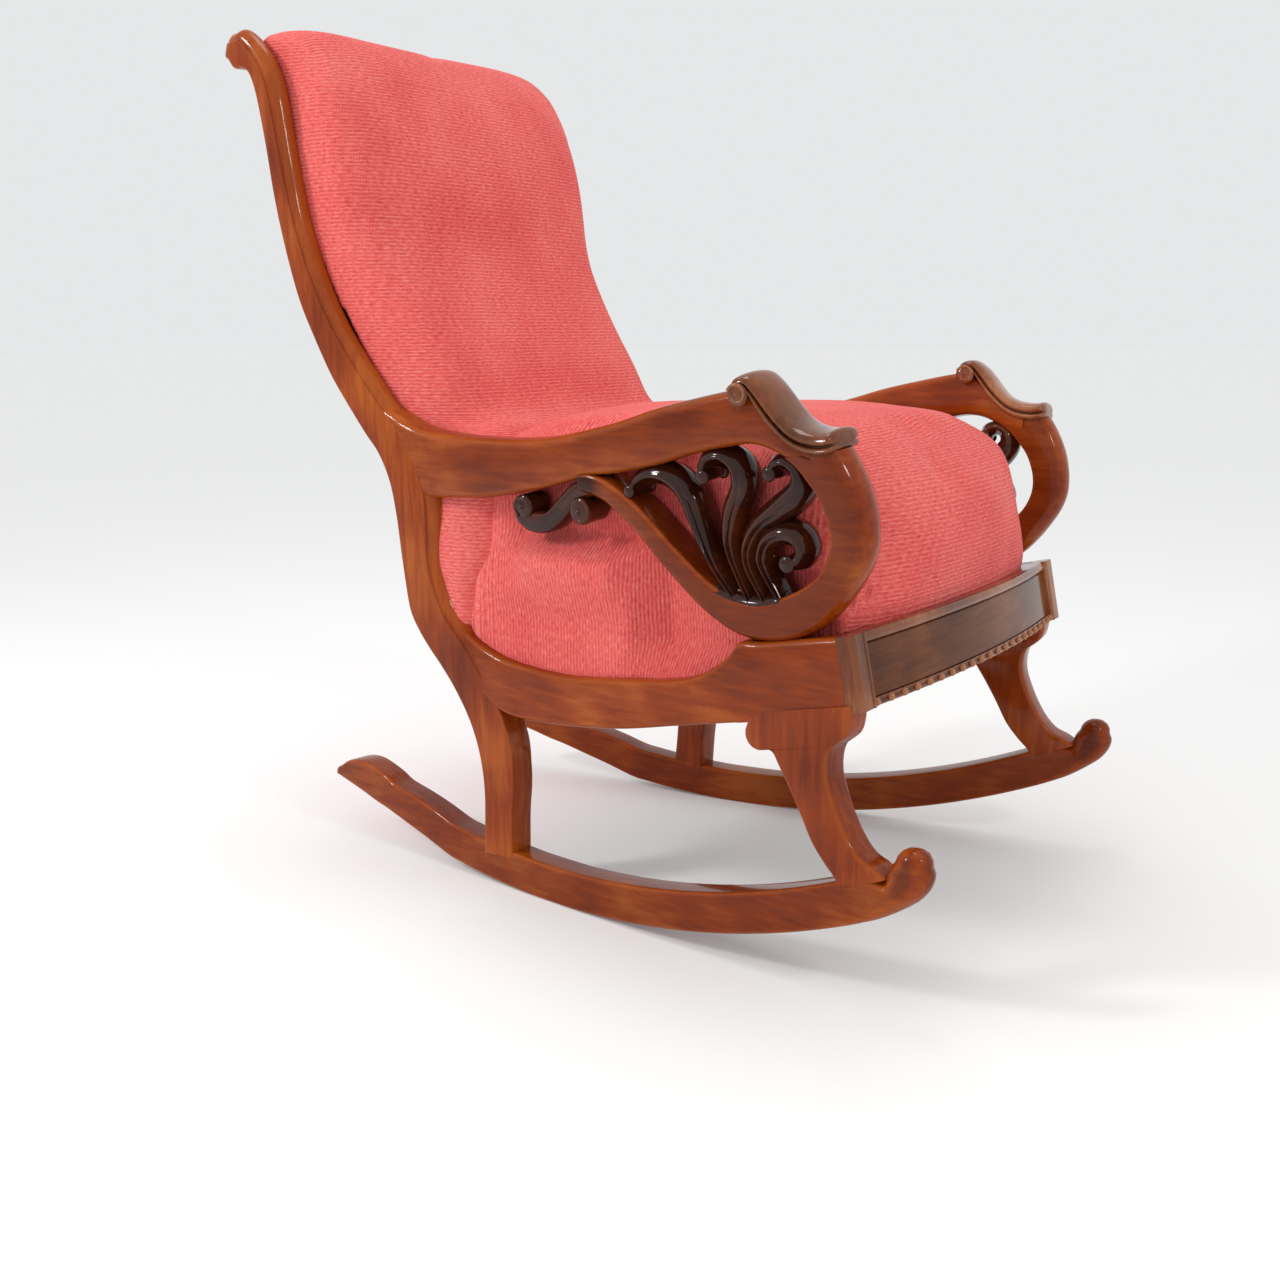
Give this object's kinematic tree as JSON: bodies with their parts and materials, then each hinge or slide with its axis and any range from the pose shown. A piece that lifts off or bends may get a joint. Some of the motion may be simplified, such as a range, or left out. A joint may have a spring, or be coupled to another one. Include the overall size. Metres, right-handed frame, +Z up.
{
  "type": "rocking chair",
  "caption": "Carved wooden rocking chair with scrolled swan-neck arms, curved rockers, a bowed front rail and a stuffed seat and back in ribbed cloth.",
  "frame": {"origin": "on the floor, under the middle of the whole chair", "axes": "+X to the sitter's left, -Y to the front of the chair, +Z up"},
  "size_m": [0.672, 1.0094, 1.098],
  "materials": {
    "mahogany": "French polished mahogany, glossy orange-brown",
    "carved_mahogany": "dark stained carved mahogany, high gloss",
    "veneer": "figured mahogany veneer, polished",
    "beech": "plain beech, bare",
    "ribbed_cloth": "ribbed red-pink cloth, matt",
    "jute": "woven jute, bare",
    "black_linen": "thin black linen, matt",
    "spring_steel": "bare spring wire"
  },
  "bodies": {
    "root": {"back_bottom_rail": "beech", "back_cushion": "ribbed_cloth", "back_panel": "ribbed_cloth", "back_strap_1": "jute", "back_strap_2": "jute", "back_top_rail": "beech", "brace_front_left": "beech", "brace_front_right": "beech", "brace_rear_left": "beech", "brace_rear_right": "beech", "crosswise_strap_1": "jute", "crosswise_strap_2": "jute", "crosswise_strap_3": "jute", "dust_cover": "black_linen", "front_beading": "carved_mahogany", "front_lip": "carved_mahogany", "front_rail": "veneer", "hessian": "jute", "left_arm": "mahogany", "left_arm_carving": "carved_mahogany", "left_arm_knuckle": "carved_mahogany", "left_arm_scroll": "mahogany", "left_corner_block": "mahogany", "left_dowel_leg_rail": "beech", "left_dowel_rail_scroll": "beech", "left_dowel_rocker_front_leg": "beech", "left_dowel_rocker_stile": "beech", "left_dowel_scroll_arm": "beech", "left_front_leg": "mahogany", "left_rocker": "mahogany", "left_side_rail": "mahogany", "left_stile": "mahogany", "lengthwise_strap_1": "jute", "lengthwise_strap_2": "jute", "lengthwise_strap_3": "jute", "rear_rail": "beech", "right_arm": "mahogany", "right_arm_carving": "carved_mahogany", "right_arm_knuckle": "carved_mahogany", "right_arm_scroll": "mahogany", "right_corner_block": "mahogany", "right_dowel_leg_rail": "beech", "right_dowel_rail_scroll": "beech", "right_dowel_rocker_front_leg": "beech", "right_dowel_rocker_stile": "beech", "right_dowel_scroll_arm": "beech", "right_front_leg": "mahogany", "right_rocker": "mahogany", "right_side_rail": "mahogany", "right_stile": "mahogany", "seat_cushion": "ribbed_cloth", "spring_1": "spring_steel", "spring_2": "spring_steel", "spring_3": "spring_steel", "spring_4": "spring_steel"}
  },
  "joints": []
}
